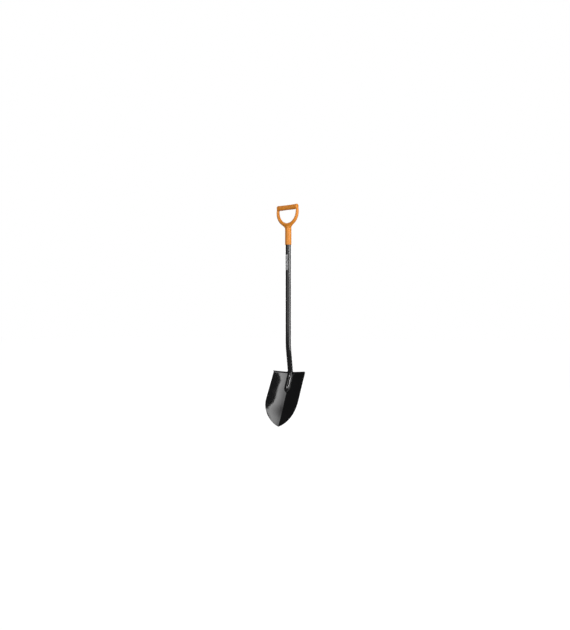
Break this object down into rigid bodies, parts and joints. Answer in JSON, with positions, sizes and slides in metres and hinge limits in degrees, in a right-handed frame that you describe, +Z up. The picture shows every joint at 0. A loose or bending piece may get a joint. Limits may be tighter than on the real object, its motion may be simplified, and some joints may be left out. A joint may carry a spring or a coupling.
{
  "type": "round point shovel",
  "caption": "Long shovel with a round point steel blade, turned foot steps, a cranked steel tube shaft and a D-shaped plastic grip.",
  "frame": {"origin": "middle of the underside of the grip's cross bar, where the tool hangs from a peg or hook", "axes": "+Z up along the straight part of the shaft, X across the blade and along the grip's bar, -Y the way the blade's hollow faces"},
  "size_m": [0.213, 0.1475, 1.251],
  "materials": {
    "blade_paint": "smooth gloss black paint on pressed steel",
    "shaft_paint": "semi-gloss black paint on steel tube",
    "grip_plastic": "satin moulded orange plastic",
    "rivet_alloy": "plain satin aluminium",
    "rivet_steel": "broken steel stem",
    "label_film": "satin grey film"
  },
  "bodies": {
    "root": {"blade": "blade_paint", "shaft": "shaft_paint", "nose_weld": "blade_paint", "step_weld_left": "blade_paint", "step_weld_right": "blade_paint", "grip": "grip_plastic", "rivet_body": "rivet_alloy", "rivet_mandrel": "rivet_steel", "shaft_label": "label_film"}
  },
  "joints": []
}
